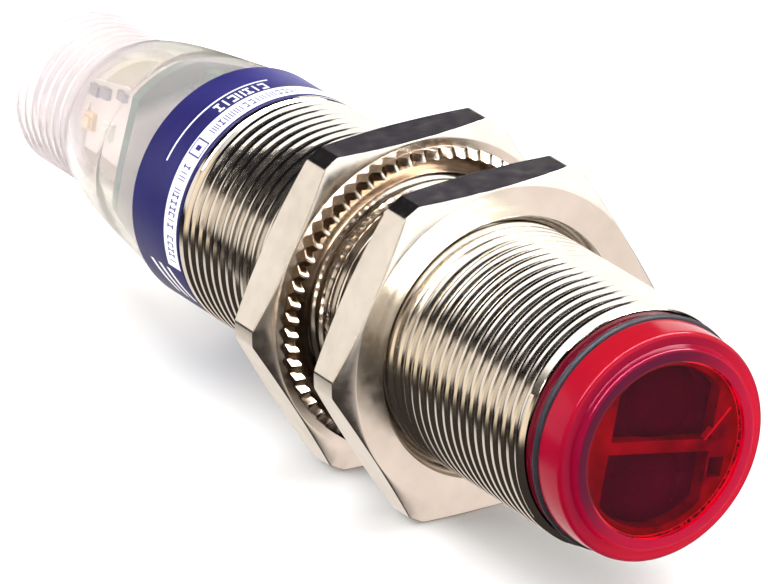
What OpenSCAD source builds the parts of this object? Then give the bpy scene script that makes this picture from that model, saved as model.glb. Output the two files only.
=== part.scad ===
// Photoelectric sensor in an M18 x 1 threaded barrel, with two lock nuts and an M12 plug.
// X is the sensing axis and +X points out of the lens. The origin is on the axis at the
// front end of the metal barrel. +Z is square to the top flat of both nuts. Millimetres.

/* [Barrel] */
// Length of the metal barrel
barrel_len = 50.4; // [50:0.2:60]
// Radius of the bore of the barrel
bore_r = 7.5; // [7.5:0.05:7.7]
// Length of the smooth rear end that carries the label
label_len = 6.6; // [4:0.2:6.8]

/* [Lens cap] */
// Outer radius of the flange of the cap
flange_r = 8.44; // [8.3:0.02:8.8]
// Length of the flange, measured from the seal
flange_len = 2.42; // [2:0.02:3]
// Radius of the raised window at the front
window_r = 6.3; // [6:0.1:6.6]
// Height of the raised window above the flange
window_rise = 0.55; // [0.3:0.05:0.8]
// Turn of the optics and the circuit board about the sensing axis, in degrees
optics_tilt = -12.7; // [-30:0.1:30]

/* [Nuts] */
// Width across the flats of the nuts
nut_af = 24; // [23:0.5:26]
// Thickness of the hexagon
nut_t = 3.4; // [3:0.1:4]
// Thickness of the toothed lock rings
ring_t = 1; // [0.9:0.05:1.2]
// Number of teeth on a lock ring
ring_teeth = 60; // [40:4:72]
// Distance from the front end of the barrel to the front nut
front_nut_back = 16; // [5:0.5:17]
// Gap between the two lock rings, which takes a mounting plate
plate_gap = 4.9; // [4.5:0.1:7]

/* [Rear housing] */
// Length of the domed part of the clear housing
dome_len = 14.1; // [13.6:0.1:16]
// Length of the M12 thread
plug_len = 7.9; // [7.5:0.1:9]

/* [Hidden] */
fine = 96;
tiny = 0.05;

// Barrel
thread_r = 9;
label_seat_r = 8.8;
label_t = 0.15;
seal_pocket_r = 8.25;
seal_pocket_len = 0.8;

// Lens cap
lip_r = 8.34;
lip_len = 0.84;
seal_w = 0.58;
seal_r = 8.66;
seal_floor_r = 7.95;
skirt_r = bore_r - 0.1;
skirt_len = 4.5;
cap_cavity_r = 6.5;
window_t = 1.15;
step_r = 7.3;
edge_round = 0.4;
flange_back = lip_len + seal_w;
flange_front = flange_back + flange_len;
window_front = flange_front + window_rise;
window_inside = window_front - window_t;

// Optics
carrier_r = 6.4;
carrier_front = window_inside - tiny;
carrier_back = -5;
pocket_r = 5.9;
pocket_half = 4.2;
chamber_r = 5.3;
chamber_half = 3.7;
divider_half = 0.45;
notch_depth = 2.5;
lens_seat = carrier_front - 1.8;
lens_plate_t = 0.8;
lens_dome_t = 1.6;
lens_ball_r = 6;
sight_z = 3;

// Boards
board_t = 1;
optics_board_r = 6.9;
optics_board_back = carrier_back - board_t;
board_front = optics_board_back - 0.4;
board_half = 6.3;
board_back = -(barrel_len + 5.2);
face_y = board_t / 2;
plug_board_front = -(barrel_len + 5.6);
plug_board_back = plug_board_front - board_t;
plug_board_r = 7;
plug_board_half = 5.5;
flag_t = 0.4;
flag_y = -4.5;
flag_back = -(barrel_len + 13.1);

// Rear housing
spigot_r = bore_r - 0.1;
spigot_len = 5;
spigot_bore_r = 6.6;
cavity_r = 7.1;
cavity_straight = 7;
cavity_wall = 0.8;
cavity_steps = 6;
dome_r0 = 8.8;
dome_slope = 1.96;
dome_round = 0.64;
dome_power = 6;
dome_steps = 12;
plug_r = 6;
plug_chamfer = 0.5;
dome_back = -(barrel_len + dome_len);
plug_back = dome_back - plug_len;
cavity_back = dome_back + 0.1;
socket_r = 4.15;
contact_t = 2.8;
contact_flange_r = 4.8;
contact_flange_t = 0.8;
contact_front = cavity_back + contact_flange_t;
contact_back = contact_front - contact_t;
pin_r = 0.5;
pin_circle_r = 2.5;
pin_recess = 1.2;
pin_tail = 1.3;
key_w = 0.9;
key_h = 0.6;

// Nuts
nut_bore_r = thread_r + 0.05;
nut_sink_r = 9.6;
nut_sink_t = 0.55;
nut_chamfer_r = nut_af * 0.496;
nut_corner_r = nut_af * 0.5625;
nut_chamfer_t = (nut_corner_r - nut_chamfer_r) * tan(30);
ring_r = 11.25;
ring_bore_r = 9.35;
ring_mouth_r = 10.05;
tooth_root_r = 10.6;
tooth_depth = ring_t * 0.65;
front_ring_back = -(front_nut_back + nut_t + ring_t);
rear_ring_front = front_ring_back - plate_gap;
rear_nut_front = rear_ring_front - ring_t;

// Profiles are lists of [radius, x]. This turns one about the X axis.
module turned(profile) {
    rotate([0, 90, 0])
        rotate_extrude($fn = fine)
            polygon(profile);
}

// A solid rod on the X axis from x0 to x1
module rod_x(r, x0, x1) {
    translate([x0, 0, 0])
        rotate([0, 90, 0])
            cylinder(r = r, h = x1 - x0, $fn = fine);
}

// The same rod, shifted sideways to y and z
module peg_x(r, x0, x1, y, z) {
    translate([0, y, z])
        rod_x(r, x0, x1);
}

// A block given by its two opposite corners
module block(low, high) {
    translate(low)
        cube(high - low);
}

// Everything that turns with the optics and the circuit board
module tilted() {
    rotate([optics_tilt, 0, 0])
        children();
}

// Half of a rod, above the divider for side 1 and below it for side -1
module half_round(r, gap, x0, x1, side) {
    cut_low = side > 0 ? -r - 1 : -gap;
    difference() {
        rod_x(r, x0, x1);
        translate([x0 - 1, -r - 1, cut_low])
            cube([x1 - x0 + 2, 2 * r + 2, r + 1 + gap]);
    }
}

// A half-round room for a lens, cut straight at both sides
module room(r, half_w, gap, x0, x1, side) {
    intersection() {
        half_round(r, gap, x0, x1, side);
        block([x0 - 1, -half_w, -r - 1], [x1 + 1, half_w, r + 1]);
    }
}

// A part on the near face of the circuit board (side -1) or the far face (side 1)
module on_board(x, z, size, side) {
    y_low = side < 0 ? -face_y - size[1] : face_y;
    translate([x - size[0] / 2, y_low, z - size[2] / 2])
        cube(size);
}

// Points of a quarter round between the flange's rim and its front face
function rim_points(n) = [
    for (i = [0 : n])
        let (a = 90 * i / n)
        [
            flange_r - 0.09 - edge_round + edge_round * sin(a),
            flange_front - edge_round + edge_round * cos(a)
        ]
];

// Outer radius of the domed housing at a share s of its length
function dome_r(s) = dome_r0 - dome_slope * s - dome_round * pow(s, dome_power);

function dome_points(n) = [
    for (i = [0 : n])
        [dome_r(i / n), -barrel_len - dome_len * i / n]
];

// The cavity follows the dome, cavity_wall inside it, from its straight part to its back
function cavity_points(n) = [
    for (i = [0 : n])
        let (x = -barrel_len - cavity_straight - (dome_len - 0.1 - cavity_straight) * i / n)
        [dome_r((-barrel_len - x) / dome_len) - cavity_wall, x]
];

// Metal tube with a smooth end for the label and a pocket for the rear seal
module barrel() {
    color("#c9c6c0")
        turned([
            [bore_r, 0],
            [thread_r, 0],
            [thread_r, -(barrel_len - label_len)],
            [label_seat_r, -(barrel_len - label_len) - 0.2],
            [label_seat_r, -barrel_len],
            [seal_pocket_r, -barrel_len],
            [seal_pocket_r, -(barrel_len - seal_pocket_len)],
            [bore_r, -(barrel_len - seal_pocket_len)]
        ]);
}

// Printed band round the smooth rear end
module label_band() {
    color("#26205c")
        turned([
            [label_seat_r + tiny, -(barrel_len - label_len) - 0.3],
            [label_seat_r + tiny + label_t, -(barrel_len - label_len) - 0.3],
            [label_seat_r + tiny + label_t, -barrel_len + 0.1],
            [label_seat_r + tiny, -barrel_len + 0.1]
        ]);
}

// Red clear cap: window, flange, seal groove, lip and a skirt inside the barrel
module lens_cap() {
    color("#d00020", 0.75)
        turned(concat(
            [
                [0, window_inside],
                [0, window_front],
                [window_r, window_front],
                [step_r, flange_front]
            ],
            rim_points(6),
            [
                [flange_r, flange_back],
                [seal_floor_r, flange_back],
                [seal_floor_r, lip_len],
                [lip_r, lip_len],
                [lip_r, 0],
                [skirt_r, 0],
                [skirt_r, -skirt_len],
                [cap_cavity_r, -skirt_len],
                [cap_cavity_r, window_inside]
            ]
        ));
}

// Black rubber ring in the groove of the cap
module lens_seal() {
    color("#141414")
        turned([
            [seal_floor_r + tiny, lip_len],
            [seal_r - 0.12, lip_len],
            [seal_r, lip_len + 0.12],
            [seal_r, flange_back - 0.12],
            [seal_r - 0.12, flange_back],
            [seal_floor_r + tiny, flange_back]
        ]);
}

// Black moulding with one half-round chamber above the divider and one below
module optics_carrier() {
    color("#1b1b1f")
        tilted()
            difference() {
                rod_x(carrier_r, carrier_back, carrier_front);
                for (side = [-1, 1]) {
                    room(chamber_r, chamber_half, divider_half, carrier_back - 1, carrier_front, side);
                    room(pocket_r, pocket_half, divider_half, lens_seat, carrier_front + 1, side);
                }
                block(
                    [carrier_front - notch_depth, pocket_half + 0.2, -2.4],
                    [carrier_front + 1, pocket_half + 1.4, -0.9]
                );
            }
}

// A half-round lens with a domed front
module sight_lens(side) {
    r = pocket_r - tiny;
    half_w = pocket_half - tiny;
    gap = divider_half + tiny;
    tilted() {
        room(r, half_w, gap, lens_seat, lens_seat + lens_plate_t, side);
        intersection() {
            room(r, half_w, gap, lens_seat, lens_seat + lens_dome_t, side);
            translate([lens_seat + lens_dome_t - lens_ball_r, 0, side * sight_z])
                sphere(r = lens_ball_r, $fn = fine);
        }
    }
}

module emitter_lens() {
    color("#b02030", 0.7)
        sight_lens(1);
}

module receiver_lens() {
    color("#901828", 0.7)
        sight_lens(-1);
}

// Round light-emitting diode that looks out of the upper chamber
module emitter_led() {
    color("#d03030")
        tilted()
            translate([0, 0, sight_z]) {
                rod_x(1.6, carrier_back, carrier_back + 0.5);
                rod_x(1.4, carrier_back, carrier_back + 2.2);
                translate([carrier_back + 2.2, 0, 0])
                    sphere(r = 1.4, $fn = fine);
            }
}

// Square photodiode that looks out of the lower chamber
module receiver_photodiode() {
    color("#33343a")
        tilted() {
            block([carrier_back, -1.4, -sight_z - 1.3], [carrier_back + 1.1, 1.4, -sight_z + 1.3]);
            peg_x(0.9, carrier_back, carrier_back + 1.25, 0, -sight_z);
        }
}

// Round board that closes the back of the chambers
module optics_board() {
    color("#2f6b3c")
        rod_x(optics_board_r, optics_board_back, carrier_back);
}

// Pin strip that joins the round board to the long one
module board_link() {
    color("#22252a")
        tilted() {
            block(
                [optics_board_back - 1.6, -face_y - 1.5, -4.2],
                [optics_board_back, -face_y - tiny, 4.2]
            );
            for (z = [-3 : 1.5 : 3])
                peg_x(0.25, optics_board_back - 4, optics_board_back, -face_y - 0.3, z);
        }
}

// Long board on the axis
module circuit_board() {
    color("#2f7a45")
        tilted()
            block(
                [board_back, -face_y, -board_half],
                [board_front, face_y, board_half]
            );
}

// Round board with two flats, square to the axis, between the long board and the plug
module connector_board() {
    color("#6fa08c")
        tilted()
            intersection() {
                rod_x(plug_board_r, plug_board_back, plug_board_front);
                block(
                    [plug_board_back - 1, -plug_board_half, -plug_board_r - 1],
                    [plug_board_front + 1, plug_board_half, plug_board_r + 1]
                );
            }
}

// Thin board that stands on the connector board and carries the indicators
module indicator_board() {
    color("#e8e2d6")
        tilted()
            translate([0, flag_y + flag_t, 0])
                rotate([90, 0, 0])
                    linear_extrude(height = flag_t)
                        polygon([
                            [flag_back, -1.6],
                            [flag_back, 3.4],
                            [plug_board_back - 1.4, 4.3],
                            [plug_board_back, 4.3],
                            [plug_board_back, -1.6]
                        ]);
}

// A part on the near face of the indicator board
module on_flag(back, z, size) {
    translate([flag_back + back, flag_y - size[1], z - size[2] / 2])
        cube(size);
}

module controller_chip() {
    color("#202226")
        tilted()
            difference() {
                on_board(-23, 0, [6, 0.9, 6], 1);
                translate([-20.8, face_y + 0.8, 2.2])
                    rotate([-90, 0, 0])
                        cylinder(r = 0.35, h = 1, $fn = 32);
            }
}

// Folded metal can over the receiver's amplifier
module amplifier_shield() {
    color("#b9bcc0")
        tilted()
            difference() {
                on_board(-16.5, 0, [9, 2.4, 8.4], -1);
                on_board(-16.5, 0, [8.4, 2.1, 7.8], -1);
            }
}

module voltage_regulator() {
    color("#26282c")
        tilted() {
            on_board(-30, 1.6, [4.4, 1.5, 2.4], -1);
            for (dx = [-1.5, 0, 1.5])
                on_board(-30 + dx, 0, [0.5, 0.3, 1], -1);
        }
}

module output_transistor() {
    color("#26282c")
        tilted() {
            on_board(-34, 0, [2.9, 1, 1.4], 1);
            for (dx = [-0.95, 0.95])
                on_board(-34 + dx, -0.9, [0.4, 0.2, 0.6], 1);
            on_board(-34, 0.9, [0.4, 0.2, 0.6], 1);
        }
}

module protection_diode() {
    color("#2b2d31")
        tilted() {
            on_board(-38, -1.5, [4.2, 2, 2.6], -1);
            for (dx = [-2.3, 2.3])
                on_board(-38 + dx, -1.5, [0.6, 0.8, 1.5], -1);
        }
}

module ceramic_capacitors() {
    color("#a98a62")
        tilted() {
            on_board(-26, -3.6, [2, 1.2, 1.25], -1);
            on_board(-26, 3.6, [2, 1.2, 1.25], -1);
            on_board(-28.6, 4, [1.6, 0.8, 0.8], 1);
            on_board(-28.6, -4, [1.6, 0.8, 0.8], 1);
        }
}

module chip_resistors() {
    color("#3a3a40")
        tilted() {
            for (z = [-3 : 1.5 : 3])
                on_board(-12.5, z, [1.6, 0.45, 0.8], 1);
            for (z = [-4.5 : 1.5 : 0])
                on_board(-33.5, z, [1.6, 0.45, 0.8], -1);
        }
}

// Yellow indicator at the back of the indicator board
module output_indicator_led() {
    color("#e8c040")
        tilted() {
            on_flag(0.05, 0.5, [1, 0.4, 1.3]);
            on_flag(0.15, 0.5, [0.8, 0.65, 0.8]);
        }
}

// Green indicator beside it
module supply_indicator_led() {
    color("#60b060")
        tilted() {
            on_flag(2.4, 0.5, [1, 0.4, 1.3]);
            on_flag(2.5, 0.5, [0.8, 0.65, 0.8]);
        }
}

// Three small parts in a row above the indicators
module indicator_resistors() {
    color("#8a8c90")
        tilted() {
            on_flag(0.1, 2.8, [1, 0.4, 0.8]);
            on_flag(1.4, 3, [1, 0.4, 0.8]);
            on_flag(3.6, 3.5, [0.8, 0.4, 0.7]);
        }
}

// Cast plug that seals the barrel round the board
module potting_resin() {
    color("#3b3630")
        tilted()
            difference() {
                rod_x(bore_r - 0.1, -(barrel_len - 6.2), -(barrel_len - 9));
                block(
                    [-barrel_len, -face_y - 0.03, -board_half - 0.03],
                    [0, face_y + 0.03, board_half + 0.03]
                );
            }
}

// Clear dome with a spigot inside the barrel and the M12 plug behind it
module rear_housing() {
    color("#efe6da", 0.55)
        difference() {
            turned(concat(
                [
                    [0, -(barrel_len - spigot_len)],
                    [spigot_r, -(barrel_len - spigot_len)],
                    [spigot_r, -barrel_len]
                ],
                dome_points(dome_steps),
                [
                    [plug_r, dome_back],
                    [plug_r, plug_back + plug_chamfer],
                    [plug_r - plug_chamfer, plug_back],
                    [0, plug_back]
                ]
            ));
            turned(concat(
                [
                    [0, 0],
                    [spigot_bore_r, 0],
                    [spigot_bore_r, -barrel_len],
                    [cavity_r, -barrel_len - 0.5],
                    [cavity_r, -barrel_len - cavity_straight + 0.1]
                ],
                cavity_points(cavity_steps),
                [
                    [0, cavity_back]
                ]
            ));
            difference() {
                turned([
                    [0, cavity_back + 1],
                    [socket_r, cavity_back + 1],
                    [socket_r, plug_back + 0.3],
                    [socket_r + 0.4, plug_back - 0.1],
                    [0, plug_back - 0.1]
                ]);
                tilted()
                    block(
                        [plug_back + 0.5, -key_w / 2, socket_r - key_h],
                        [contact_back - tiny, key_w / 2, socket_r + 1]
                    );
            }
        }
}

// Rubber ring in the pocket at the rear end of the barrel
module rear_seal() {
    color("#141414")
        translate([-barrel_len + 0.4, 0, 0])
            rotate([0, 90, 0])
                rotate_extrude($fn = fine)
                    translate([(spigot_r + seal_pocket_r) / 2, 0])
                        circle(r = 0.36, $fn = 48);
}

// Corners of the square on which the four contact pins stand
function pin_yz(i) = [
    pin_circle_r * cos(45 + 90 * i),
    pin_circle_r * sin(45 + 90 * i)
];

// Insulator that carries the contact pins, with a flange inside the dome
module contact_carrier() {
    color("#202226")
        tilted()
            difference() {
                turned([
                    [0, contact_front],
                    [contact_flange_r, contact_front],
                    [contact_flange_r, cavity_back],
                    [socket_r - tiny, cavity_back],
                    [socket_r - tiny, contact_back],
                    [0, contact_back]
                ]);
                for (i = [0 : 3])
                    peg_x(
                        pin_r + 0.02,
                        contact_back - 1,
                        contact_front + 1,
                        pin_yz(i)[0],
                        pin_yz(i)[1]
                    );
            }
}

// One gold-plated pin with a rounded tip in the socket
module contact_pin(i) {
    color("#d8b45a")
        tilted()
            translate([0, pin_yz(i)[0], pin_yz(i)[1]]) {
                rod_x(pin_r, plug_back + pin_recess + pin_r, contact_front + pin_tail);
                translate([plug_back + pin_recess + pin_r, 0, 0])
                    sphere(r = pin_r, $fn = 48);
            }
}

module contact_pin_1() {
    contact_pin(0);
}

module contact_pin_2() {
    contact_pin(1);
}

module contact_pin_3() {
    contact_pin(2);
}

module contact_pin_4() {
    contact_pin(3);
}

// Four short leads from the pins' tails to the connector board
module lead_wires() {
    color("#c8743c")
        tilted()
            for (i = [0 : 3])
                peg_x(
                    0.3,
                    contact_front + pin_tail + 0.05,
                    plug_board_back,
                    pin_yz(i)[0],
                    pin_yz(i)[1]
                );
}

// Pins that join the long board to the connector board
module board_bridge() {
    color("#c9ccd0")
        tilted()
            for (z = [-4.5 : 1.5 : 4.5])
                peg_x(0.25, board_back - 0.4, board_back + 2, -face_y - 0.26, z);
}

// Hexagon with both faces chamfered, its corners turned down and a countersunk bore
module hex_nut(front) {
    back = front - nut_t;
    difference() {
        intersection() {
            translate([back, 0, 0])
                rotate([0, 90, 0])
                    rotate([0, 0, 30])
                        cylinder(d = nut_af / cos(30), h = nut_t, $fn = 6);
            turned([
                [0, front],
                [nut_chamfer_r, front],
                [nut_corner_r, front - nut_chamfer_t],
                [nut_corner_r, back + nut_chamfer_t],
                [nut_chamfer_r, back],
                [0, back]
            ]);
        }
        turned([
            [0, front + 0.1],
            [nut_sink_r, front + 0.1],
            [nut_sink_r, front],
            [nut_bore_r, front - nut_sink_t],
            [nut_bore_r, back + nut_sink_t],
            [nut_sink_r, back],
            [nut_sink_r, back - 0.1],
            [0, back - 0.1]
        ]);
    }
}

// Washer with teeth round one edge. The toothed face looks along +X for way 1.
module lock_ring(face, way) {
    translate([face, 0, 0])
        scale([way, 1, 1])
            difference() {
                turned([
                    [ring_bore_r, -ring_t],
                    [ring_r, -ring_t],
                    [ring_r, 0],
                    [ring_mouth_r, 0],
                    [ring_bore_r, -(ring_mouth_r - ring_bore_r)]
                ]);
                for (i = [0 : ring_teeth - 1])
                    rotate([360 * i / ring_teeth, 0, 0])
                        tooth_gap();
            }
}

// V-shaped gap between two teeth, as deep as tooth_depth at the rim
module tooth_gap() {
    half_w = ring_r * tan(180 / ring_teeth) * 0.98;
    translate([0, 0, tooth_root_r])
        linear_extrude(height = ring_r - tooth_root_r + 1)
            polygon([
                [-tooth_depth, 0],
                [0.1, half_w],
                [0.1, -half_w]
            ]);
}

module front_nut() {
    color("#d9d2c8")
        hex_nut(-front_nut_back);
}

module front_lock_ring() {
    color("#cfc6ba")
        lock_ring(front_ring_back, -1);
}

module rear_lock_ring() {
    color("#cfc6ba")
        lock_ring(rear_ring_front, 1);
}

module rear_nut() {
    color("#d9d2c8")
        hex_nut(rear_nut_front);
}

// Which node to draw: "all" or one of the names above

barrel();
label_band();
lens_cap();
lens_seal();
optics_carrier();
emitter_lens();
receiver_lens();
emitter_led();
receiver_photodiode();
optics_board();
board_link();
circuit_board();
controller_chip();
amplifier_shield();
voltage_regulator();
output_transistor();
protection_diode();
ceramic_capacitors();
chip_resistors();
potting_resin();
board_bridge();
connector_board();
indicator_board();
output_indicator_led();
supply_indicator_led();
indicator_resistors();
rear_housing();
rear_seal();
contact_carrier();
contact_pin_1();
contact_pin_2();
contact_pin_3();
contact_pin_4();
lead_wires();
front_nut();
front_lock_ring();
rear_lock_ring();
rear_nut();
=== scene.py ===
import math
import random

import bmesh
import bpy
from mathutils import Matrix, Vector


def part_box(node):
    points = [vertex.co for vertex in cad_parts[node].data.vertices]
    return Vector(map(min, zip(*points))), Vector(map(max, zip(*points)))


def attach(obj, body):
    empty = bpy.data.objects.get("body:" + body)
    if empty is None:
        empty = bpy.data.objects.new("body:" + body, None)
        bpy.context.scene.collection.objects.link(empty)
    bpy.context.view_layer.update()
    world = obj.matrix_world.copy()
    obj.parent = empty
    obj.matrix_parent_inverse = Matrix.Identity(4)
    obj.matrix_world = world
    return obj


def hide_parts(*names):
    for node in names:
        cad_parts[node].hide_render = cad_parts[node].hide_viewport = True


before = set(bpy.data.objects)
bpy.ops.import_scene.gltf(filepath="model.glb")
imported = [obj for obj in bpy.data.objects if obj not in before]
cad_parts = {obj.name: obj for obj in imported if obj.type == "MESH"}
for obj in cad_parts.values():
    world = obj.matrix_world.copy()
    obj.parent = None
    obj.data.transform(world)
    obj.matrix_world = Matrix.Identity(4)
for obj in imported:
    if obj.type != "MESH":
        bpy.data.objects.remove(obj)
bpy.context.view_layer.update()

MM = 0.001
# Corners closer than this, in mm, are merged
MERGE = 0.0004
random.seed(7)

# ---------------------------------------------------------------- the places, from the frame


def low(node):
    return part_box(node)[0] / MM


def high(node):
    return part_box(node)[1] / MM


BARREL_BACK = low("barrel").x
THREAD_R = high("barrel").z
LABEL_FRONT = high("label_band").x
LABEL_BACK = low("label_band").x
LABEL_R = high("label_band").z
CAP_FRONT = high("lens_cap").x
PLUG_BACK = low("rear_housing").x
FRONT_NUT = (low("front_nut").x, high("front_nut").x)
REAR_NUT = (low("rear_nut").x, high("rear_nut").x)
FRONT_RING = (low("front_lock_ring").x, high("front_lock_ring").x)
REAR_RING = (low("rear_lock_ring").x, high("rear_lock_ring").x)
RING_R = high("rear_lock_ring").z
NUT_FLAT = high("front_nut").z
# How far the optics and the plug's key are turned about X from upright
TILT = math.radians(-12.7)


# ---------------------------------------------------------------- meshes


def new_object(name, verts, faces, body, sharp=32.0, merge=True):
    """A closed mesh in mm, moved to metres, smooth but for edges sharper than sharp degrees."""
    mesh = bpy.data.meshes.new(name)
    mesh.from_pydata([[c * MM for c in v] for v in verts], [], faces)
    bm = bmesh.new()
    bm.from_mesh(mesh)
    if merge:
        bmesh.ops.remove_doubles(bm, verts=bm.verts, dist=MERGE * MM)
        bmesh.ops.dissolve_degenerate(bm, edges=bm.edges, dist=MERGE * MM)
    bmesh.ops.recalc_face_normals(bm, faces=bm.faces)
    bm.to_mesh(mesh)
    bm.free()
    for p in mesh.polygons:
        p.use_smooth = True
    mesh.set_sharp_from_angle(angle=math.radians(sharp))
    obj = bpy.data.objects.new(name, mesh)
    bpy.context.scene.collection.objects.link(obj)
    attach(obj, body)
    return obj


def turned(name, body, steps, profile_at, sharp=32.0):
    """Turns a closed outline about X. profile_at(angle) gives equally many (x, r) at every angle."""
    verts = []
    rows = 0
    for i in range(steps):
        a = 2 * math.pi * i / steps
        row = profile_at(a)
        rows = len(row)
        for x, r in row:
            verts.append((x, r * math.cos(a), r * math.sin(a)))
    faces = []
    for i in range(steps):
        j = (i + 1) % steps
        for k in range(rows):
            m = (k + 1) % rows
            faces.append((i * rows + k, i * rows + m, j * rows + m, j * rows + k))
    return new_object(name, verts, faces, body, sharp)


def rounded(points, cuts, steps):
    """A closed outline of (x, r), each corner replaced by an arc that reaches its cut to each side."""
    out = []
    n = len(points)
    for i, cut in enumerate(cuts):
        p = Vector(points[i])
        a = Vector(points[i - 1]) - p
        b = Vector(points[(i + 1) % n]) - p
        if not cut:
            out.append((p.x, p.y))
            continue
        start = p + a.normalized() * cut
        stop = p + b.normalized() * cut
        for k in range(steps + 1):
            t = k / steps
            q = start * (1 - t) ** 2 + p * 2 * t * (1 - t) + stop * t**2
            out.append((q.x, q.y))
    return out


def smooth_min(a, b, k):
    """The smaller of a and b, with the change from one to the other rounded over k."""
    h = max(k - abs(a - b), 0.0) / k
    return min(a, b) - h * h * k * 0.25


class Thread:
    """A right-hand thread of 60 degrees about X, with small flats, run out at both ends."""

    def __init__(self, crest, pitch, depth, crest_flat, root_flat):
        self.crest = crest
        self.pitch = pitch
        self.depth = depth
        flank = (pitch - crest_flat - root_flat) / 2
        soft = 0.22 * crest_flat
        crest_end = crest_flat / 2
        root_start = crest_end + flank
        # (along the axis from the middle of a crest, share of the depth)
        self.cuts = [
            (0.0, 0.0),
            (crest_end - soft, 0.0),
            (crest_end + soft * 0.4, 0.05),
            (crest_end + flank * 0.5, 0.5),
            (root_start - soft * 0.4, 0.95),
            (root_start + soft, 1.0),
        ]
        self.cuts += [(pitch - u, d) for u, d in reversed(self.cuts[1:])]

    def row(self, angle, x0, x1, limit, share):
        """(x, r) from x0 down to x1. limit(x) is the largest radius, share(x) scales the depth."""
        out = []
        turns = int((x0 - x1) / self.pitch) + 3
        phase = angle / (2 * math.pi)
        first = math.ceil(x0 / self.pitch) + 1
        for t in range(turns):
            for u, d in self.cuts:
                x = (first - t + phase) * self.pitch - u
                x = min(max(x, x1), x0)
                r = self.crest - self.depth * d * share(x)
                out.append((x, min(r, limit(x))))
        return out


# ---------------------------------------------------------------- materials


class Tree:
    """A node tree, built by short calls."""

    def __init__(self, tree):
        self.tree = tree

    def add(self, kind, inputs=None, **props):
        node = self.tree.nodes.new(kind)
        for k, v in props.items():
            setattr(node, k, v)
        for k, v in (inputs or {}).items():
            if isinstance(v, bpy.types.NodeSocket):
                self.tree.links.new(v, node.inputs[k])
            else:
                node.inputs[k].default_value = v
        return node

    def step(self, value, off, on):
        """0 at off, 1 at on, smooth between them."""
        node = self.add(
            "ShaderNodeMapRange",
            {"Value": value, "From Min": off, "From Max": on},
            interpolation_type="SMOOTHSTEP",
        )
        return node.outputs["Result"]

    def product(self, *factors):
        out = factors[0]
        for factor in factors[1:]:
            out = self.add("ShaderNodeMath", {0: out, 1: factor}, operation="MULTIPLY").outputs[0]
        return out

    def vector_math(self, operation, a, b, output="Vector"):
        return self.add("ShaderNodeVectorMath", {0: a, 1: b}, operation=operation).outputs[output]

    def blend(self, fac, a, b):
        """Colour a where fac is 0, colour b where it is 1."""
        node = self.add("ShaderNodeMix", {0: fac, 6: a, 7: b}, data_type="RGBA")
        return node.outputs[2]

    def scaled(self, colour, factor):
        node = self.add("ShaderNodeVectorMath", {0: colour, "Scale": factor}, operation="SCALE")
        return node.outputs["Vector"]


class Nodes(Tree):
    """A material's node tree."""

    def __init__(self, name):
        self.mat = bpy.data.materials.new(name)
        self.mat.use_nodes = True
        super().__init__(self.mat.node_tree)
        self.shader = self.tree.nodes["Principled BSDF"]

    def set(self, **values):
        for k, v in values.items():
            key = k.replace("_", " ")
            if isinstance(v, bpy.types.NodeSocket):
                self.tree.links.new(v, self.shader.inputs[key])
            else:
                self.shader.inputs[key].default_value = v

    def coords(self):
        return self.add("ShaderNodeTexCoord").outputs["Object"]

    def noise(self, vector, scale, detail=3.0, rough=0.55):
        node = self.add(
            "ShaderNodeTexNoise",
            {"Vector": vector, "Scale": scale, "Detail": detail, "Roughness": rough},
        )
        return node.outputs["Fac"]

    def ramp(self, fac, stops):
        """A colour ramp with stops of (place, colour)."""
        node = self.add("ShaderNodeValToRGB", {"Fac": fac})
        ramp = node.color_ramp
        while len(ramp.elements) < len(stops):
            ramp.elements.new(0.5)
        for element, (at, colour) in zip(ramp.elements, stops):
            element.position = at
            element.color = colour if len(colour) == 4 else (*colour, 1.0)
        return node.outputs["Color"]

    def spread(self, fac, low_value, high_value):
        """A noise's usual range, 0.3 to 0.7, spread from low_value to high_value."""
        inputs = {"From Min": 0.3, "From Max": 0.7, "To Min": low_value, "To Max": high_value}
        node = self.add("ShaderNodeMapRange", {"Value": fac, **inputs})
        return node.outputs["Result"]

    def bump(self, height, strength, distance):
        node = self.add(
            "ShaderNodeBump", {"Height": height, "Strength": strength, "Distance": distance}
        )
        return node.outputs["Normal"]

    def stretched(self, scale):
        """Object coordinates, scaled by axis."""
        node = self.add("ShaderNodeMapping", {"Vector": self.coords(), "Scale": scale})
        return node.outputs["Vector"]


def nickel(name, dark, light, rough_low, rough_high, grain):
    """Nickel plate on machined brass: faint cloudiness, fine machining lines round the axis."""
    n = Nodes(name)
    cloud = n.noise(n.coords(), 260.0, 4.0)
    lines = n.noise(n.stretched((5200.0, 160.0, 160.0)), 1.0, 2.0)
    n.set(
        Base_Color=n.ramp(cloud, [(0.3, dark), (0.7, light)]),
        Metallic=1.0,
        Roughness=n.spread(n.noise(n.coords(), 900.0), rough_low, rough_high),
        Normal=n.bump(lines, grain, 0.00002),
    )
    return n.mat


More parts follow.
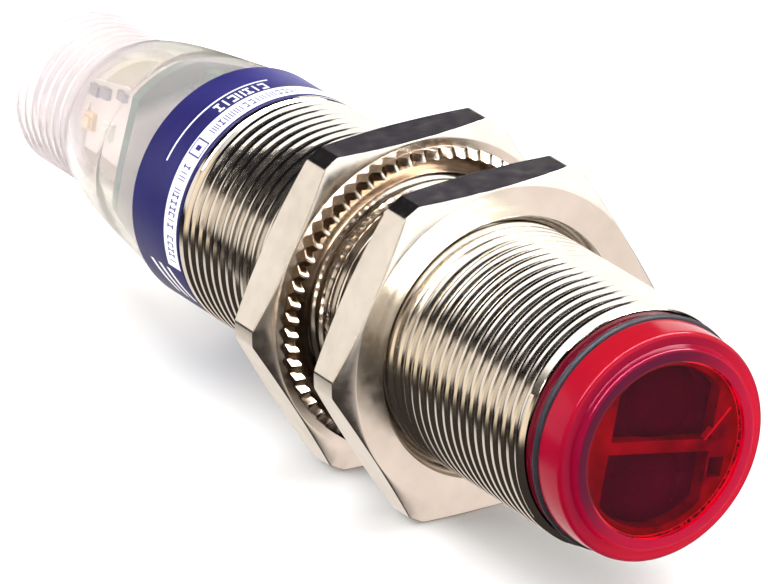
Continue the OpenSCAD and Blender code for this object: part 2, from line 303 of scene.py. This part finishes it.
def ring_nickel():
    """The lock rings' plate: bright on the teeth, with painted shade, a dark brown, in the gaps and the
    recess.
    """
    n = Nodes("nickel_plate_ring")
    place = n.add("ShaderNodeSeparateXYZ", {"Vector": n.coords()}).outputs
    middle = (FRONT_RING[0] + REAR_RING[1]) / 2 * MM
    face = (FRONT_RING[0] - REAR_RING[1]) / 2 * MM
    away = n.add("ShaderNodeMath", {0: place["X"], 1: middle}, operation="SUBTRACT").outputs[0]
    away = n.add("ShaderNodeMath", {0: away}, operation="ABSOLUTE").outputs[0]
    cloud = n.noise(n.coords(), 260.0, 4.0)
    bright = n.ramp(cloud, [(0.3, (0.70, 0.65, 0.58)), (0.7, (0.82, 0.77, 0.70))])
    # Painted shade: dark brown for the tooth gaps and the recessed face, where shade falls.
    recess_shade = n.ramp(cloud, [(0.3, (0.12, 0.085, 0.058)), (0.7, (0.22, 0.165, 0.12))])
    n.set(
        # The painted shade takes over from 0.12 to 0.34 mm behind the toothed face.
        Base_Color=n.blend(n.step(away, face + 0.12 * MM, face + 0.34 * MM), bright, recess_shade),
        Metallic=1.0,
        Roughness=n.spread(n.noise(n.coords(), 900.0), 0.14, 0.24),
        Normal=n.bump(n.noise(n.stretched((5200.0, 160.0, 160.0)), 1.0, 2.0), 0.2, 0.00002),
    )
    return n.mat


def plastic(name, dark, light, rough_low, rough_high, scale=700.0, grain=0.15, gloss=0.5):
    """Moulded plastic, print, board or ceramic: a mottle between two colours, with fine grain."""
    n = Nodes(name)
    mottle = n.noise(n.coords(), scale)
    n.set(
        Base_Color=n.ramp(mottle, [(0.3, dark), (0.7, light)]),
        Roughness=n.spread(mottle, rough_low, rough_high),
        Normal=n.bump(n.noise(n.coords(), scale * 4), grain, 0.00002),
        Specular_IOR_Level=gloss,
    )
    return n.mat


def radius_of(n):
    """Distance from the X axis, in metres."""
    split = n.add("ShaderNodeSeparateXYZ", {"Vector": n.coords()})
    flat = n.add("ShaderNodeCombineXYZ", {"Y": split.outputs["Y"], "Z": split.outputs["Z"]})
    length = n.add(
        "ShaderNodeVectorMath", {"Vector": flat.outputs["Vector"]}, operation="LENGTH"
    )
    return length.outputs["Value"]


def red_flange():
    """Red clear plastic where it is thick, with painted light: lighter on top, painted shade on the front
    face and, deeper, on the rim's slope, both darker to one side, a painted glow round the window and on
    the walls' inner side, and painted shade on the lip.
    """
    n = Nodes("red_clear_plastic")
    place = n.add("ShaderNodeSeparateXYZ", {"Vector": n.coords()}).outputs
    radius = radius_of(n)
    wisp = n.noise(n.coords(), 180.0)
    side = n.ramp(wisp, [(0.3, (0.22, 0.001, 0.016)), (0.7, (0.30, 0.002, 0.022))])
    # Painted light: the flange side is lighter and more orange on top, where the light falls.
    colour = n.blend(n.step(place["Z"], 2.5 * MM, 8.0 * MM), side, (0.36, 0.007, 0.018, 1.0))
    across = n.add("ShaderNodeMath", {0: place["Z"], 1: place["Y"]}, operation="SUBTRACT")
    across = across.outputs[0]
    # Painted shade: the front face and the rim's slope turn darker towards one side, where Z exceeds Y.
    shade = n.step(across, -5.0 * MM, 6.0 * MM)
    face = n.blend(shade, (0.42, 0.002, 0.022, 1.0), (0.21, 0.001, 0.022, 1.0))
    slope = n.blend(shade, (0.34, 0.002, 0.026, 1.0), (0.07, 0.003, 0.020, 1.0))
    # Painted shade: the front face, and then the rim's slope much darker, set against the side.
    colour = n.blend(n.step(radius, 8.15 * MM, 7.95 * MM), colour, face)
    colour = n.blend(n.step(radius, 7.22 * MM, 7.12 * MM), colour, slope)
    # Painted glow: bright red inside 6.4 mm, round the window and on the skirt, standing in for light
    # through the plastic.
    colour = n.blend(n.step(radius, 6.50 * MM, 6.36 * MM), colour, (0.45, 0.004, 0.030, 1.0))
    # Painted shade: the lip behind the seal, next to the barrel, is dark.
    colour = n.blend(n.step(place["X"], 0.9 * MM, 0.8 * MM), colour, (0.10, 0.002, 0.012, 1.0))
    n.set(
        Base_Color=colour,
        Transmission_Weight=0.15,
        Roughness=n.spread(n.noise(n.coords(), 600.0), 0.14, 0.20),
        IOR=1.45,
        Specular_Tint=(0.46, 0.17, 0.25, 1.0),
        # Painted glow: red emission on the inner side of the walls, keyed to Backfacing and seen through
        # the window.
        Emission_Color=(0.62, 0.002, 0.030, 1.0),
        Emission_Strength=n.add("ShaderNodeNewGeometry").outputs["Backfacing"],
    )
    return n.mat


def red_window():
    """The same plastic in the window: clear, with a surface that hardly reflects."""
    n = Nodes("red_window_plastic")
    wisp = n.noise(n.coords(), 180.0)
    n.set(
        Base_Color=n.ramp(wisp, [(0.3, (0.80, 0.004, 0.13)), (0.7, (0.90, 0.010, 0.17))]),
        Transmission_Weight=1.0,
        Roughness=n.spread(n.noise(n.coords(), 600.0), 0.01, 0.03),
        IOR=1.49,
        Specular_IOR_Level=0.05,
        Specular_Tint=(0.10, 0.01, 0.03, 1.0),
    )
    return n.mat


def pale_laminate():
    """Glass laminate: pale resist on both faces, green glass at the cut edge and near the top."""
    n = Nodes("board_edge")
    normal = n.add("ShaderNodeTexCoord").outputs["Normal"]
    facing = n.add("ShaderNodeSeparateXYZ", {"Vector": normal})
    flat = n.add("ShaderNodeMath", {0: facing.outputs["X"]}, operation="ABSOLUTE").outputs[0]
    place = n.add("ShaderNodeSeparateXYZ", {"Vector": n.coords()}).outputs
    speck = n.noise(n.coords(), 2500.0)
    green = n.ramp(speck, [(0.3, (0.012, 0.085, 0.055)), (0.7, (0.03, 0.13, 0.09))])
    pale = n.ramp(speck, [(0.3, (0.88, 0.84, 0.79)), (0.7, (0.95, 0.91, 0.87))])
    pale = n.blend(n.step(place["Z"], 3.4 * MM, 5.2 * MM), pale, green)
    n.set(
        Base_Color=n.blend(n.step(flat, 0.4, 0.7), green, pale),
        Roughness=n.spread(speck, 0.45, 0.6),
        Normal=n.bump(speck, 0.3, 0.00002),
    )
    return n.mat


def milky_clear():
    """The rear housing: clear with faint clouds over the boards, milkier towards the plug."""
    n = Nodes("clear_plastic")
    place = n.add("ShaderNodeSeparateXYZ", {"Vector": n.coords()}).outputs
    milk = n.step(place["X"], -63.0 * MM, -66.0 * MM)
    clear = n.add("ShaderNodeMapRange", {"Value": milk, "To Min": 0.85, "To Max": 0.60}).outputs[0]
    wisp = n.noise(n.coords(), 110.0, 3.0)
    stops = [(0.34, (0.86, 0.84, 0.75)), (0.5, (0.90, 0.85, 0.84)), (0.66, (0.92, 0.87, 0.88))]
    n.set(
        Base_Color=n.blend(milk, n.ramp(wisp, stops), (0.87, 0.815, 0.82, 1.0)),
        Transmission_Weight=clear,
        Roughness=n.spread(n.noise(n.coords(), 500.0), 0.04, 0.08),
        IOR=1.24,
    )
    return n.mat


def paint(obj, material):
    obj.data.materials.clear()
    obj.data.materials.append(material)


NICKEL = nickel("nickel_plate", (0.70, 0.66, 0.60), (0.80, 0.76, 0.70), 0.08, 0.15, 0.05)
NUT_NICKEL = nickel("nickel_plate_nut", (0.72, 0.68, 0.62), (0.82, 0.78, 0.72), 0.16, 0.27, 0.18)
RING_NICKEL = ring_nickel()
RUBBER = plastic("black_rubber", (0.010, 0.010, 0.014), (0.02, 0.02, 0.026), 0.45, 0.65, gloss=0.2)
NAVY = plastic("label_navy", (0.014, 0.013, 0.078), (0.021, 0.019, 0.104), 0.34, 0.46, 300.0, 0.05, 0.18)
WHITE_INK = plastic("label_white", (0.80, 0.80, 0.84), (0.90, 0.90, 0.93), 0.30, 0.42, 500.0, 0.05)
BLUE_INK = plastic("label_blue", (0.03, 0.02, 0.18), (0.05, 0.03, 0.24), 0.30, 0.42, 500.0, 0.05)
BLACK_PLASTIC = plastic("black_plastic", (0.010, 0.008, 0.010), (0.022, 0.016, 0.02), 0.25, 0.45)
CHIP = plastic("chip_black", (0.02, 0.02, 0.022), (0.045, 0.045, 0.05), 0.45, 0.65, 2500.0)
LAMINATE = plastic("board_green", (0.02, 0.12, 0.05), (0.04, 0.19, 0.09), 0.28, 0.42, 900.0, 0.3)
PALE_BOARD = plastic("board_pale", (0.80, 0.75, 0.68), (0.88, 0.84, 0.78), 0.4, 0.55, 900.0, 0.2)
TIN = nickel("tinned", (0.62, 0.62, 0.64), (0.80, 0.80, 0.82), 0.22, 0.42, 0.3)
CERAMIC = plastic("ceramic_tan", (0.42, 0.30, 0.17), (0.56, 0.42, 0.26), 0.45, 0.6, 2500.0)
RESIN = plastic("resin_brown", (0.05, 0.035, 0.028), (0.09, 0.07, 0.055), 0.25, 0.4, 400.0)
GOLD = nickel("gold_plate", (0.80, 0.55, 0.20), (0.92, 0.68, 0.30), 0.14, 0.26, 0.15)
COPPER = nickel("copper_wire", (0.62, 0.32, 0.18), (0.78, 0.44, 0.26), 0.2, 0.35, 0.2)
YELLOW_LED = plastic("led_yellow", (0.80, 0.60, 0.30), (0.92, 0.76, 0.45), 0.15, 0.3, 1500.0)
GREEN_LED = plastic("led_green", (0.70, 0.76, 0.66), (0.80, 0.85, 0.76), 0.15, 0.3, 1500.0)
SOLDER = nickel("solder", (0.22, 0.22, 0.25), (0.42, 0.42, 0.45), 0.25, 0.45, 0.4)
RED_LED = plastic("led_red", (0.55, 0.02, 0.02), (0.75, 0.05, 0.04), 0.12, 0.25, 1500.0)
RED_FLANGE = red_flange()
RED_WINDOW = red_window()
RED_PLASTIC = plastic("red_plastic", (0.08, 0.002, 0.05), (0.40, 0.01, 0.14), 0.25, 0.40, 330.0, 0.05, 0.2)
# Painted glow: a bright copy of the red plastic for the carrier's web, standing in for light through the
# plastic.
RED_GLOW = plastic("red_plastic_painted_glow", (0.75, 0.01, 0.20), (0.95, 0.02, 0.30), 0.2, 0.35, 330.0, 0.05, 0.2)
CLEAR = milky_clear()
EDGE_LAMINATE = pale_laminate()
LENS = plastic(
    "optical_plastic", (0.035, 0.01, 0.20), (0.05, 0.014, 0.28), 0.2, 0.3, 300.0, 0.02, 0.1
)

# ---------------------------------------------------------------- barrel

BORE_R = 7.5
barrel_thread = Thread(THREAD_R, 1.0, 0.54, 0.28, 0.12)
THREAD_BACK = LABEL_FRONT + 0.3


def barrel_limit(x):
    return THREAD_R - max(0.0, x + 0.45) * 0.9


def barrel_share(x):
    return min(1.0, max(0.0, (x - THREAD_BACK) / 0.9))


def barrel_row(angle):
    row = barrel_thread.row(angle, 0.0, THREAD_BACK, barrel_limit, barrel_share)
    seat = THREAD_R - 0.2
    row += [
        (THREAD_BACK - 0.06, THREAD_R - 0.02),
        (THREAD_BACK - 0.2, seat),
        (BARREL_BACK + 0.12, seat),
        (BARREL_BACK, seat - 0.12),
        (BARREL_BACK, 8.3),
        (BARREL_BACK + 0.05, 8.25),
        (BARREL_BACK + 0.8, 8.25),
        (BARREL_BACK + 0.8, BORE_R),
        (-0.1, BORE_R),
        (0.0, BORE_R + 0.1),
    ]
    return row


barrel = turned("barrel_threaded", "sensor", 192, barrel_row, 40.0)
paint(barrel, NICKEL)
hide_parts("barrel")

# ---------------------------------------------------------------- label


def wrap(x, degrees, r):
    a = math.radians(degrees)
    return (x, r * math.cos(a), r * math.sin(a))


class Print:
    """Thin printed marks on the label: every mark is a closed slab wrapped round the axis."""

    def __init__(self, r, thick):
        self.r = r
        self.thick = thick
        self.verts = []
        self.faces = []

    def band(self, x0, x1, a0, a1, slant=0.0):
        """A mark from x0 to x1 and a0 to a1 degrees. slant shifts its x from one end to the other."""
        steps = max(2, int(abs(a1 - a0) / 2.0) + 1)
        base = len(self.verts)
        for i in range(steps + 1):
            a = a0 + (a1 - a0) * i / steps
            dx = slant * i / steps
            for x, r in (
                (x0 + dx, self.r),
                (x1 + dx, self.r),
                (x1 + dx, self.r + self.thick),
                (x0 + dx, self.r + self.thick),
            ):
                self.verts.append(wrap(x, a, r))
        for i in range(steps):
            for k in range(4):
                m = (k + 1) % 4
                a, b = base + i * 4, base + (i + 1) * 4
                self.faces.append((a + k, a + m, b + m, b + k))
        last = base + steps * 4
        self.faces.append((base, base + 3, base + 2, base + 1))
        self.faces.append((last, last + 1, last + 2, last + 3))

    def glyph(self, x0, x1, a, width, shape):
        """A made-up mark in a cell: strokes given as (x from, x to, across from, across to)."""
        h = x1 - x0
        for sx0, sx1, sa0, sa1 in shape:
            self.band(x0 + h * sx0, x0 + h * sx1, a + width * sa0, a + width * sa1)

    def make(self, name, material):
        obj = new_object(name, self.verts, self.faces, "sensor", 30.0, False)
        paint(obj, material)
        return obj


LABEL_BASE = THREAD_R - 0.15
PRINT_R = LABEL_R - 0.03


def label_row(angle):
    outline = [
        (LABEL_FRONT, LABEL_BASE),
        (LABEL_FRONT, PRINT_R),
        (LABEL_BACK, PRINT_R),
        (LABEL_BACK, LABEL_BASE),
    ]
    return rounded(outline, [0.03] * 4, 2)


def behind(mm):
    """A place on the label, that far behind its front edge."""
    return LABEL_FRONT - mm


label = turned("label_film_band", "sensor", 160, label_row, 40.0)
paint(label, NAVY)
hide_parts("label_band")

# Strokes of the made-up marks, each (x from, x to, across from, across to) in shares of a cell
STROKES = [
    [(0, 1, 0, 0.25), (0.0, 0.22, 0.25, 0.9), (0.78, 1, 0.25, 0.9)],
    [(0, 1, 0, 0.25), (0, 1, 0.65, 0.9)],
    [(0, 0.22, 0, 0.9), (0.78, 1, 0, 0.9), (0.22, 0.78, 0.32, 0.6)],
    [(0, 1, 0.35, 0.6)],
]
LARGE_MARKS = 7
SMALL_MARKS = 40
BARS = 3

# The white strip, a rule, a row of large marks and three oblique bars. Angles are in degrees.
white = Print(PRINT_R - 0.004, 0.016)
white.band(behind(1.85), behind(0.2), 52, 196)
white.band(behind(3.55), behind(3.4), 84, 148)
for i in range(LARGE_MARKS):
    white.glyph(behind(3.1), behind(2.1), 88 + 4.1 * i, 3.6, STROKES[(i * 3) % len(STROKES)])
for i in range(BARS):
    start = behind(4.6) + 1.1 * i
    white.band(start, start + 0.4, 199, 216, slant=1.7)
print_white = white.make("label_print_white", WHITE_INK)

# Small marks along the strip, with gaps between their groups, and a boxed square in one gap
blue = Print(PRINT_R + 0.008, 0.008)
for i in range(SMALL_MARKS):
    a = 78 + 2.9 * i + random.uniform(-0.3, 0.3)
    if 127 < a < 142 or 152 < a < 156 or 175 < a < 179:
        continue
    mid = behind(1.0)
    blue.glyph(mid - 0.40, mid + 0.40, a, 2.2, STROKES[random.randrange(len(STROKES))])
for back, front, start, stop in (
    (1.72, 1.62, 131, 140),
    (0.44, 0.34, 131, 140),
    (1.62, 0.44, 131, 131.8),
    (1.62, 0.44, 139.2, 140),
    (1.3, 0.76, 134.2, 136.8),
):
    blue.band(behind(back), behind(front), start, stop)
print_blue = blue.make("label_print_blue", BLUE_INK)

# ---------------------------------------------------------------- lens cap, seal, optics

LIP = 0.84
SEAL_W = 0.58
SEAT = LIP + SEAL_W
FLANGE = 3.84
WINDOW_IN = CAP_FRONT - 1.15
# The window's faces lie inside this radius and in front of this x
WINDOW_R = 6.45
WINDOW_X = 3.0
SEAL_MID_R = 8.37
SEAL_BULGE = 0.29


def cap_row(angle):
    outline = [
        (WINDOW_IN, 0.001),
        (CAP_FRONT - 0.1, 0.001),
        (CAP_FRONT - 0.1, 6.3),
        (CAP_FRONT, 6.48),
        (CAP_FRONT, 7.30),
        (FLANGE, 7.46),
        (FLANGE, 8.35),
        (SEAT, 8.44),
        (SEAT, 7.95),
        (LIP, 7.95),
        (LIP, 8.34),
        (0.0, 8.34),
        (0.0, 7.4),
        (-4.5, 7.4),
        (-4.5, 6.5),
        (WINDOW_IN, 6.5),
    ]
    cuts = [0, 0, 0.05, 0.08, 0.22, 0.05, 0.34, 0.1, 0.02, 0.02, 0.08, 0.02, 0.05, 0.1, 0.1, 0.15]
    return rounded(outline, cuts, 5)


cap = turned("lens_cap_red", "sensor", 160, cap_row, 35.0)
paint(cap, RED_FLANGE)
cap.data.materials.append(RED_WINDOW)
for p in cap.data.polygons:
    if math.hypot(p.center.y, p.center.z) < WINDOW_R * MM and p.center.x > WINDOW_X * MM:
        p.material_index = 1
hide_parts("lens_cap")


def seal_row(angle):
    mid = (LIP + SEAT) / 2
    out = []
    for k in range(9):
        a = math.pi * k / 8
        out.append((mid + SEAL_W / 2 * math.cos(a), SEAL_MID_R + SEAL_BULGE * math.sin(a)))
    return out + [(LIP, 8.0), (SEAT, 8.0)]


seal = turned("lens_o_ring", "sensor", 160, seal_row, 50.0)
paint(seal, RUBBER)
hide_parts("lens_seal")


def tilted(x, y, z):
    """A point given in the turned frame of the optics."""
    c, w = math.cos(TILT), math.sin(TILT)
    return (x, y * c - z * w, y * w + z * c)


def optics_rib():
    """The slanting web of the carrier, beside the upper chamber: a thin bar with round ends."""
    front = high("optics_carrier").x + 0.02
    start, stop = Vector((3.75, 0.45)), Vector((5.35, 2.65))
    along = (stop - start).normalized()
    across = Vector((-along.y, along.x))
    half = 0.09
    outline = []
    for end, first in ((start, 90), (stop, -90)):
        for k in range(7):
            a = math.radians(first + 30 * k)
            p = end + along * half * math.cos(a) + across * half * math.sin(a)
            outline.append(p)
    n = len(outline)
    verts = [tilted(x, p.x, p.y) for x in (front - 0.5, front) for p in outline]
    faces = [tuple(range(n)), tuple(range(n, 2 * n))]
    faces += [(i, (i + 1) % n, n + (i + 1) % n, n + i) for i in range(n)]
    return new_object("optics_carrier_rib", verts, faces, "sensor")


rib = optics_rib()
# The web gets the painted glow; the rest of the carrier is the darker red_plastic.
paint(rib, RED_GLOW)

# ---------------------------------------------------------------- nuts and lock rings


def nut(name, body, node, span):
    """A hexagon nut with a flat on top, chamfered corners and a countersunk bore."""
    back, front = span
    corner = NUT_FLAT * 1.125
    chamfer_r = NUT_FLAT * 0.990
    slope = math.tan(math.radians(18))
    # Width of the rounded edges, and of the strip that keeps the faces beside them flat
    edge = 0.05
    hold = 0.04
    sixth = math.pi / 3

    def row(a):
        off = (a - math.pi / 2 + sixth / 2) % sixth - sixth / 2
        flat = NUT_FLAT / math.cos(off)
        r = smooth_min(flat, corner, 0.04)
        drop = (r - chamfer_r) * slope
        bevel = min(edge, drop * 0.9)
        side = []
        for x, way in ((front, -1), (back, 1)):
            part = [
                (x + way * 0.95, 9.02),
                (x + way * 0.08, 9.62),
                (x, 9.72),
                (x, chamfer_r - edge - hold),
                (x, chamfer_r - edge),
                (x + way * edge * 0.1, chamfer_r + edge * 0.3),
                (x + way * (drop - bevel * 0.8), r - bevel * 1.9),
                (x + way * (drop - bevel * 0.4), r - bevel * 1.1),
                (x + way * (drop + bevel * 0.3), r - bevel * 0.3),
                (x + way * (drop + edge), r),
                (x + way * (drop + edge + hold), r),
            ]
            side.append(part)
        return side[0] + side[1][::-1]

    obj = turned(name, body, 720, row, 24.0)
    paint(obj, NUT_NICKEL)
    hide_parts(node)
    return obj


front_nut = nut("front_hex_nut", "front_hex", "front_nut", FRONT_NUT)
rear_nut = nut("rear_hex_nut", "rear_hex", "rear_nut", REAR_NUT)


def toothed_ring(name, body, node, span, way):
    """A lock ring with a recessed face inside a rim of teeth, which point along way."""
    teeth = 60
    face = span[1] if way > 0 else span[0]
    back = span[0] if way > 0 else span[1]
    depth = 0.68
    root = 10.65
    floor_x = face - way * depth

    def row(a):
        step = (a * teeth / (2 * math.pi)) % 1.0
        t = abs(step - 0.5) * 2
        x = face - way * depth * max(0.0, 1 - t * 1.15)
        rim = face - way * min(abs(x - face) + 0.30, 0.86)
        return [
            (back, 9.4),
            (back, RING_R - 0.06),
            (back + way * 0.06, RING_R),
            (rim - way * 0.03, RING_R),
            (rim, RING_R - 0.03),
            (x, root + 0.03),
            (x - way * 0.03, root),
            (floor_x - way * 0.01, root - 0.01),
            (floor_x - way * 0.01, 9.55),
            (floor_x - way * 0.08, 9.4),
            (back + way * 0.05, 9.35),
        ]

    obj = turned(name, body, teeth * 12, row, 28.0)
    paint(obj, RING_NICKEL)
    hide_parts(node)
    return obj


front_ring = toothed_ring("front_toothed_ring", "front_ring", "front_lock_ring", FRONT_RING, -1)
rear_ring = toothed_ring("rear_toothed_ring", "rear_ring", "rear_lock_ring", REAR_RING, 1)

# ---------------------------------------------------------------- rear housing

# The spigot that goes into the barrel, the hollow behind it and the plug's socket with its key
SPIGOT_FRONT = -45.5
SPIGOT_R = 7.4
HOLLOW_R = 7.1
HOLLOW_END = -57.2
WALL = 0.8
SOCKET_R = 4.15
SOCKET_FLOOR = -66.4
KEY_HALF_DEGREES = 6.5
KEY_HEIGHT = 0.6
DOME_LEN = 14.1
DOME_BACK = BARREL_BACK - DOME_LEN
PLUG_R = 6.0
plug_thread = Thread(PLUG_R, 1.0, 0.52, 0.24, 0.14)


def dome_r(s):
    """The dome's radius at share s of its length, from the barrel back."""
    return 8.8 - 1.96 * s - 0.64 * s**6


def plug_limit(x):
    return PLUG_R - max(0.0, PLUG_BACK + 0.55 - x) * 0.85


def plug_share(x):
    return min(1.0, max(0.0, (DOME_BACK - 0.25 - x) / 0.5))


def housing_row(angle):
    row = [(-45.45, 6.7), (-45.4, 7.3), (SPIGOT_FRONT, SPIGOT_R)]
    row += [(BARREL_BACK, SPIGOT_R), (BARREL_BACK, 8.72)]
    steps = 40
    for i in range(steps + 1):
        s = (i + 0.15) / (steps + 0.15)
        row.append((BARREL_BACK - DOME_LEN * s, dome_r(s)))
    row.append((DOME_BACK - 0.02, 6.08))
    row += plug_thread.row(angle, DOME_BACK - 0.06, PLUG_BACK, plug_limit, plug_share)
    row += [(PLUG_BACK, 4.6), (PLUG_BACK + 0.05, 4.5), (PLUG_BACK + 0.35, SOCKET_R)]
    key = abs((math.degrees(angle - TILT) - 90 + 180) % 360 - 180)
    bore = SOCKET_R - (KEY_HEIGHT if key < KEY_HALF_DEGREES else 0.0)
    row += [(PLUG_BACK + 0.5, SOCKET_R), (PLUG_BACK + 0.52, bore)]
    row += [(SOCKET_FLOOR - 0.05, bore), (SOCKET_FLOOR, SOCKET_R)]
    row += [(DOME_BACK + 0.1, SOCKET_R), (DOME_BACK + 0.1, 5.3)]
    for i in range(9):
        x = DOME_BACK + 0.15 + i * 0.87
        row.append((x, dome_r((BARREL_BACK - x) / DOME_LEN) - WALL))
    row += [(HOLLOW_END, HOLLOW_R), (BARREL_BACK - 0.5, HOLLOW_R)]
    row += [(BARREL_BACK, 6.6), (SPIGOT_FRONT, 6.6)]
    return row


housing = turned("clear_rear_housing", "sensor", 192, housing_row, 38.0)
paint(housing, CLEAR)
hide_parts("rear_housing")

# ---------------------------------------------------------------- the CAD nodes that stay

FINISH = {
    "optics_carrier": RED_PLASTIC,
    "emitter_lens": LENS,
    "receiver_lens": LENS,
    "emitter_led": RED_LED,
    "receiver_photodiode": CHIP,
    "optics_board": LAMINATE,
    "board_link": BLACK_PLASTIC,
    "circuit_board": LAMINATE,
    "controller_chip": CHIP,
    "amplifier_shield": TIN,
    "voltage_regulator": CHIP,
    "output_transistor": CHIP,
    "protection_diode": CHIP,
    "ceramic_capacitors": CERAMIC,
    "chip_resistors": CHIP,
    "potting_resin": RESIN,
    "board_bridge": TIN,
    "connector_board": EDGE_LAMINATE,
    "indicator_board": PALE_BOARD,
    "output_indicator_led": YELLOW_LED,
    "supply_indicator_led": GREEN_LED,
    "indicator_resistors": SOLDER,
    "rear_seal": RUBBER,
    "contact_carrier": PALE_BOARD,
    "contact_pin_1": GOLD,
    "contact_pin_2": GOLD,
    "contact_pin_3": GOLD,
    "contact_pin_4": GOLD,
    "lead_wires": COPPER,
}
for node_name, material in FINISH.items():
    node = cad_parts[node_name]
    paint(node, material)
    for p in node.data.polygons:
        p.use_smooth = True
    node.data.set_sharp_from_angle(angle=math.radians(30))

# ---------------------------------------------------------------- floor, light and camera

FLOOR_Z = -NUT_FLAT * MM


FLOOR_HALF = 1.5
FLOOR_GAP = 0.00002

floor_mesh = bpy.data.meshes.new("floor")
corners = [(x * FLOOR_HALF, y * FLOOR_HALF, 0) for x, y in ((-1, -1), (1, -1), (1, 1), (-1, 1))]
floor_mesh.from_pydata(corners, [], [(0, 1, 2, 3)])
floor = bpy.data.objects.new("floor", floor_mesh)
bpy.context.scene.collection.objects.link(floor)
floor.location = (-0.03, 0, FLOOR_Z - FLOOR_GAP)
floor.visible_glossy = False
floor_paint = Nodes("floor_white")
floor_paint.set(Base_Color=(0.95, 0.95, 0.95, 1.0), Roughness=0.9)
paint(floor, floor_paint.mat)

MIDDLE = Vector((-0.032, 0.0, 0.0))


def area_light(name, direction, distance, size, power, in_gloss):
    light = bpy.data.lights.new(name, "AREA")
    light.shape = "RECTANGLE"
    light.size, light.size_y = size
    light.energy = power
    obj = bpy.data.objects.new(name, light)
    bpy.context.scene.collection.objects.link(obj)
    d = Vector(direction).normalized()
    obj.location = MIDDLE + d * distance
    obj.rotation_euler = (-d).to_track_quat("-Z", "Y").to_euler()
    obj.visible_glossy = in_gloss
    return obj


area_light("right_softbox", (0.55, 0.60, 0.80), 0.60, (0.50, 0.50), 5.0, False)
area_light("left_softbox", (-0.30, -0.80, 0.60), 0.60, (0.50, 0.50), 3.0, False)
area_light("top_softbox", (0.10, -0.25, 1.0), 0.60, (0.16, 0.30), 1.6, True)

# What matt surfaces get from all round
FILL = 0.45
# What gloss and bare metal see: soft panels of a light tent, as (colour, x, y, z). Each of x, y
# and z is where the panel starts and where it is full, along that part of the direction. A second
# z and then a second x bound some panels from the other side.
ANY = (-3.0, -2.0)
PANELS = [
    ((1.60, 1.55, 1.50), (0.0, 0.3), (-0.20, -0.10), (-0.30, -0.15)),
    ((1.08, 0.94, 0.87), (0.0, 0.3), (0.05, 0.25), (0.10, -0.10)),
    ((1.25, 1.04, 0.78), (0.6, 0.8), (-0.27, -0.33), (-0.32, -0.20)),
    ((1.15, 1.06, 0.97), (0.0, -0.3), (-0.30, -0.42), (-0.12, 0.0), (0.46, 0.36)),
    ((0.95, 0.88, 0.81), (-0.3, -0.5), ANY, (-0.30, -0.45)),
    ((1.50, 1.45, 1.42), (-0.3, -0.5), (0.555, 0.60)),
    ((0.058, 0.054, 0.075), (0.0, -0.3), (0.30, 0.42), (0.20, 0.30)),
    ((0.95, 0.93, 0.92), (0.05, 0.2), ANY, (0.52, 0.64)),
    ((0.95, 0.93, 0.92), (0.2, 0.35), (-0.55, -0.68), (-0.10, 0.05)),
    ((46.0, 45.0, 45.0), (0.0, 0.1), ANY, (0.52, 0.60), ANY, (0.41, 0.34)),
]
DIM = (0.008, 0.007, 0.010)
GROUND = (0.050, 0.040, 0.036)


def studio_world():
    world = bpy.data.worlds.new("studio")
    world.use_nodes = True
    t = Tree(world.node_tree)
    direction = t.add("ShaderNodeTexCoord").outputs["Generated"]
    split = t.add("ShaderNodeSeparateXYZ", {"Vector": direction}).outputs
    seen = t.scaled(GROUND, t.step(split["Z"], -0.1, -0.3))
    seen = t.vector_math("MAXIMUM", seen, DIM)
    for colour, *spans in PANELS:
        edges = [t.step(split[axis], *span) for axis, span in zip("XYZZX", spans)]
        seen = t.vector_math("MAXIMUM", seen, t.scaled(colour, t.product(*edges)))
    white = t.add("ShaderNodeBackground", {"Color": (1.0, 1.0, 1.0, 1.0), "Strength": 1.0})
    fill = t.add("ShaderNodeBackground", {"Color": (1.0, 1.0, 1.0, 1.0), "Strength": FILL})
    tent = t.add("ShaderNodeBackground", {"Color": seen, "Strength": 1.0})
    path = t.add("ShaderNodeLightPath").outputs
    page = t.add(
        "ShaderNodeMath",
        {0: path["Is Camera Ray"], 1: path["Is Transmission Ray"]},
        operation="MAXIMUM",
    ).outputs[0]
    out = fill.outputs[0]
    for fac, shader in ((path["Is Glossy Ray"], tent.outputs[0]), (page, white.outputs[0])):
        out = t.add("ShaderNodeMixShader", {0: fac, 1: out, 2: shader}).outputs[0]
    t.tree.links.new(out, t.tree.nodes["World Output"].inputs["Surface"])
    bpy.context.scene.world = world


studio_world()

# The camera: where it looks, from which side, how far and how it leans
AIM = Vector((-31.14, 0.15, -1.43)) * MM
FROM_AZIMUTH = math.radians(-32.445)
FROM_ELEVATION = math.radians(24.214)
DISTANCE = 664.53 * MM
LEAN = math.radians(-0.829)
LENS_MM = 440.8

camera_data = bpy.data.cameras.new("camera")
camera_data.lens = LENS_MM
camera_data.sensor_width = 36.0
camera_data.clip_start = 0.01
camera_data.clip_end = 10.0
camera = bpy.data.objects.new("camera", camera_data)
bpy.context.scene.collection.objects.link(camera)
toward = Vector(
    (
        math.cos(FROM_ELEVATION) * math.cos(FROM_AZIMUTH),
        math.cos(FROM_ELEVATION) * math.sin(FROM_AZIMUTH),
        math.sin(FROM_ELEVATION),
    )
)
right = Vector((0, 0, 1)).cross(toward).normalized()
up = toward.cross(right)
lean = Matrix.Rotation(LEAN, 3, toward)
right, up = lean @ right, lean @ up
place = Matrix((right, up, toward)).transposed().to_4x4()
place.translation = AIM + toward * DISTANCE
camera.matrix_world = place
bpy.context.scene.camera = camera

bpy.context.scene.view_settings.view_transform = "Standard"
